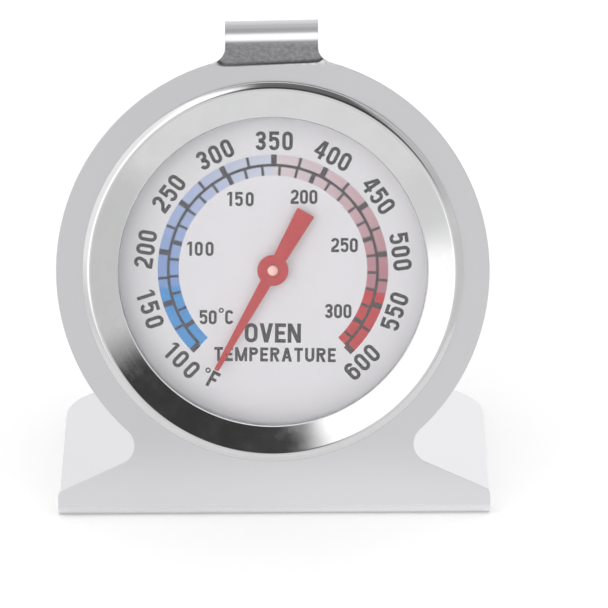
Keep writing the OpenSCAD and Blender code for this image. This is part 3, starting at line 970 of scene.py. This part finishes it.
def bezel_profile():
    """A sloping flank outside, a rounded crest, a dished cone, and an edge rolled in behind."""
    lip_z, lip_rise, lip_flat = 0.4, 0.15, 0.5
    lip_round, rim_round, crest_round, hem_round = 0.3, 0.12, 1.35, 0.4
    crest_in = 1.0
    cone, flank = 90 + 13.5, 90 - 17.0
    cone_normal, flank_normal = heading(math.radians(cone)), heading(math.radians(flank))
    lip = Vector((lip_r + lip_round, lip_z + lip_rise))
    crest_x, rim_x, inner_x = bezel_r - crest_in, bezel_r - rim_round, bezel_r - BEZEL_T
    crest_level = lip.dot(cone_normal) + lip_round - crest_round
    crest = Vector((crest_x, line_height(crest_x, cone_normal, crest_level)))
    level = crest.dot(flank_normal) + crest_round
    rim = Vector((rim_x, line_height(rim_x, flank_normal, level - rim_round)))
    front = (arc_points((bezel_r - hem_round, hem_round), hem_round, -88, 0, 8)
             + arc_points(rim, rim_round, 0, flank, 6)
             + arc_points(crest, crest_round, flank, cone, 16) + arc_points(lip, lip_round, cone, 180, 10))
    back = [(lip_r, lip_z), (lip_r + lip_flat, lip_z)]
    back += arc_points(crest, crest_round - BEZEL_T, cone, flank, 6)
    back += [(inner_x, line_height(inner_x, flank_normal, level - BEZEL_T)), (inner_x, BEZEL_T),
             (HEM_R, BEZEL_T), (HEM_R, 0.0)]
    return front + back


# ---------- pointer and staff ----------
REST_CLOCK = 209.8  # clock angle of the pointer's long arm at rest
ARM, ARM_ROOT_HALF, ARM_TIP_HALF = 16.0, 0.8, 0.33
TAIL, TAIL_ROOT_HALF, TAIL_TIP_HALF = 9.3, 0.93, 1.33
HUB_R, BORE_R = 2.15, 0.77
POINTER_EDGE = 0.06
STAFF_R, GROOVE_R = 0.75, 0.55
CLIP_PLAY = 0.02


def pointer_piece(material):
    """The red blade, made pointing up and turned to its rest angle."""
    back, front = depth_range("pointer")
    arm_turn = math.degrees(math.asin(ARM_ROOT_HALF / HUB_R))
    tail_turn = math.degrees(math.asin(TAIL_ROOT_HALF / HUB_R))
    corners = [(ARM_TIP_HALF, ARM), (-ARM_TIP_HALF, ARM)]
    corners += arc_points((0, 0), HUB_R, 90 + arm_turn, 270 - tail_turn, 24)
    corners += [(-TAIL_TIP_HALF, -TAIL), (TAIL_TIP_HALF, -TAIL)]
    corners += arc_points((0, 0), HUB_R, 270 + tail_turn, 450 - arm_turn, 24)
    corners = [Vector(p) for p in corners]
    outline = []
    for a, b in zip(corners, corners[1:] + corners[:1]):
        steps = max(1, math.ceil((a - b).length / 0.5))
        outline += [a.lerp(b, i / steps) for i in range(steps)]
    turn = Matrix.Rotation(-math.radians(REST_CLOCK), 2)
    vertices = []

    def put(p, depth, _tilt, _outward):
        q = turn @ p
        vertices.append(on_dial(q.x, q.y, front - depth))
        return len(vertices) - 1

    faces = sheet_faces(outline, round_hole(BORE_R, 48), POINTER_EDGE, front - back, 3, put)
    finish_shading(make_piece("pointer_blade", vertices, faces, material, "pointer",
                              ["pointer"]))


def staff_profile():
    """A plain pin with a groove for the clip and softly rounded ends."""
    back, front = depth_range("staff")
    clip_back, clip_front = depth_range("staff_clip")
    low, high = clip_back - CLIP_PLAY, clip_front + CLIP_PLAY
    return rounded([(0.0, back, 0), (STAFF_R, back), (STAFF_R, low, 0), (GROOVE_R, low, 0),
                    (GROOVE_R, high, 0), (STAFF_R, high, 0), (STAFF_R, front), (0.0, front, 0)], 0.1)


# ---------- build ----------
AXIAL = (1.0, 1.0, 0.2)  # stretch of a grain that runs along the dial's axis
# metals of the hidden pieces, which keep their CAD shapes: colour, roughness, grain, its stretch, nodes
HIDDEN = {
    "drawn_case": ((0.62, 0.62, 0.63), 0.30, 0.10, (1.0, 1.0, 0.15), ["case_can", "clamp_ring"]),
    "stamped_inner": ((0.52, 0.52, 0.54), 0.40, 0.15, (1.0, 0.3, 1.0),
                      ["mount_plate", "movement_bridge", "thrust_washers", "staff_clip"]),
    "spacer_bright": ((0.80, 0.80, 0.81), 0.35, 0.08, AXIAL, ["spacer_ring"]),
    "turned_brass": ((0.72, 0.55, 0.28), 0.26, 0.08, AXIAL,
                     ["bridge_rivets", "front_bush", "rear_bush", "anchor_post", "pointer_bush",
                      "coil_collet"]),
    "bimetal_strip": ((0.55, 0.44, 0.34), 0.36, 0.12, AXIAL, ["bimetal_coil"])}


def cover(node, material):
    mesh = frame["nodes"][node].data
    mesh.materials.clear()
    mesh.materials.append(material)


# the stand's steel takes painted shade and light as well as its hook scuffs
stand_piece(steel_material("satin_stainless", (0.62, 0.612, 0.628), 0.19, 0.012, (1.0, 0.12, 1.0), 0.005,
                           0.004, painted_light_and_scuffs=True))
revolve("bezel", bezel_profile(), chrome_material(), "case", ["bezel_ring"], 360)

low, high = depth_range("front_glass")
glass_r = radius_range("front_glass")[1]
revolve("window", rounded([(0.0, low, 0), (glass_r, low), (glass_r, high), (0.0, high, 0)], 0.2),
        glass_material(), "case", ["front_glass"], 180)

low, high = depth_range("dial_plate")
inner, outer = radius_range("dial_plate")
revolve("dial_disc", rounded([(inner, low), (outer, low), (outer, high), (inner, high)], 0.06),
        paint_material("dial_enamel", srgb(229, 228, 231), 0.5, 0.012, 0.2), "case",
        ["dial_plate"], 180)
print_bands()
print_scales()
print_text()

pointer_piece(paint_material("pointer_red", srgb(188, 10, 22), 0.38, 0.03))
copper = steel_material("staff_copper", (0.62, 0.36, 0.31), 0.45, 0.10, (1.0, 1.0, 1.0))
revolve("staff_pin", staff_profile(), copper, "pointer", ["staff"], 64)

for name, (*look, nodes) in HIDDEN.items():
    metal = steel_material(name, *look)
    for node in nodes:
        cover(node, metal)
cover("glass_gasket", rubber_material())


# ---------- floor, light and camera ----------
ALL = (-400, 400)  # every angle
# parts of the studio that the metal mirrors, in degrees: brightness, azimuth from the front, elevation,
# arch (0 on the front horizon, 90 overhead, 180 on the horizon behind), and softness; later ones lie on top
ZONES = [(0.88, (12, 140), (-90, 22), ALL, 7),
         (0.84, ALL, (0, 90), (120, 146), 4),
         (1.05, ALL, (0, 90), (146, 200), 4),
         (1.3, (-110, -28), (9.5, 62), ALL, 4),
         (2.0, (-28, -8.5), (9.5, 52), ALL, 4),
         (0.26, (-45, 28), (54, 64), ALL, 5),
         (0.2, (-7.5, 28), (40, 57), ALL, 4),
         (0.06, (-7.5, 28), (24, 44), ALL, 4),
         (0.75, (28, 140), (24, 61), ALL, 4),
         (1.9, ALL, (0, 90), (67.5, 94), 4.5),
         (0.62, ALL, (0, 90), (98, 122), 5)]
ZENITH_SOFT = 0.5  # softness of a zone that reaches the zenith
# the light that reaches the dial through the glass: azimuth and elevation, each as low, high and softness
LOW_LEFT = ((-85, 5, 12), (-5, 32, 8))
DIAL_SHADE, DIAL_LIGHT = 0.96, 3.4  # its brightness outside and inside that patch
VIEW_ELEVATION, VIEW_ROLL = 25.5, -0.3
VIEW_CENTRE = (4.29, -4.54)  # what the camera looks at, on the dial
VIEW_DISTANCE, VIEW_WIDTH = 0.74, 0.08413  # metres; the width is at the dial
SENSOR = 36


def floor_piece():
    material, tree, shader = new_material("pale_floor")
    cloud = noise(tree, object_coords(tree), 1.5, 2.0)
    color = ramp(tree, cloud, [(0.0, (0.90, 0.90, 0.90)), (1.0, (0.93, 0.93, 0.93))])
    set_inputs(tree, shader, {"Base Color": color, "Roughness": 0.9, "Specular IOR Level": 0.1,
                              "Emission Color": gray(1.0), "Emission Strength": 0.12})
    mesh = bpy.data.meshes.new("floor")
    half = 3.0
    corners = [(-half, -half, 0), (half, -half, 0), (half, half, 0), (-half, half, 0)]
    mesh.from_pydata(corners, [], [(0, 1, 2, 3)])
    mesh.materials.append(material)
    floor = bpy.data.objects.new("floor", mesh)
    bpy.context.scene.collection.objects.link(floor)


def studio_world():
    """A white studio with light and dark zones, and its own level for light that passes the glass."""
    world = bpy.data.worlds.new("studio")
    bpy.context.scene.world = world
    world.use_nodes = True
    tree = world.node_tree
    background = next(n for n in tree.nodes if n.type == "BACKGROUND")
    x, y, z = split_xyz(tree, add(tree, "ShaderNodeTexCoord").outputs["Generated"])
    front = times(tree, y, -1.0)
    elevation = times(tree, math_node(tree, "ARCSINE", z), DEGREES)
    azimuth = times(tree, math_node(tree, "ARCTAN2", x, front), DEGREES)
    over = times(tree, math_node(tree, "ARCTAN2", z, front), DEGREES)
    level = gray(1.0)
    for brightness, turn, rise, arch, soft in ZONES:
        mask = times(tree, smooth_band(tree, azimuth, *turn, soft),
                     smooth_band(tree, elevation, *rise, soft if rise[1] < 90 else ZENITH_SOFT))
        mask = times(tree, mask, smooth_band(tree, over, *arch, soft))
        level = mix_color(tree, mask, level, gray(brightness))
    path = add(tree, "ShaderNodeLightPath").outputs
    level = mix_color(tree, path["Is Diffuse Ray"], level, gray(1.0))
    turn, rise = LOW_LEFT
    low_left = times(tree, smooth_band(tree, azimuth, *turn), smooth_band(tree, elevation, *rise))
    through_glass = to_range(tree, low_left, DIAL_SHADE, DIAL_LIGHT)
    level = mix_color(tree, path["Is Transmission Ray"], level, through_glass)
    level = mix_color(tree, path["Is Camera Ray"], level, gray(1.0))
    tree.links.new(level, background.inputs["Color"])


def camera():
    data = bpy.data.cameras.new("camera")
    data.sensor_width = SENSOR
    data.lens = SENSOR * VIEW_DISTANCE / VIEW_WIDTH
    data.clip_start = 0.01
    view = bpy.data.objects.new("camera", data)
    bpy.context.scene.collection.objects.link(view)
    bpy.context.scene.camera = view
    elevation = math.radians(VIEW_ELEVATION)
    toward = Vector((0, -math.cos(elevation), math.sin(elevation)))
    view.location = on_dial(*VIEW_CENTRE, 0) + VIEW_DISTANCE * toward
    pitch = Matrix.Rotation(math.pi / 2 - elevation, 3, "X")
    view.rotation_euler = (pitch @ Matrix.Rotation(math.radians(VIEW_ROLL), 3, "Z")).to_euler()


floor_piece()
studio_world()
camera()
bpy.context.scene.view_settings.view_transform = "Standard"
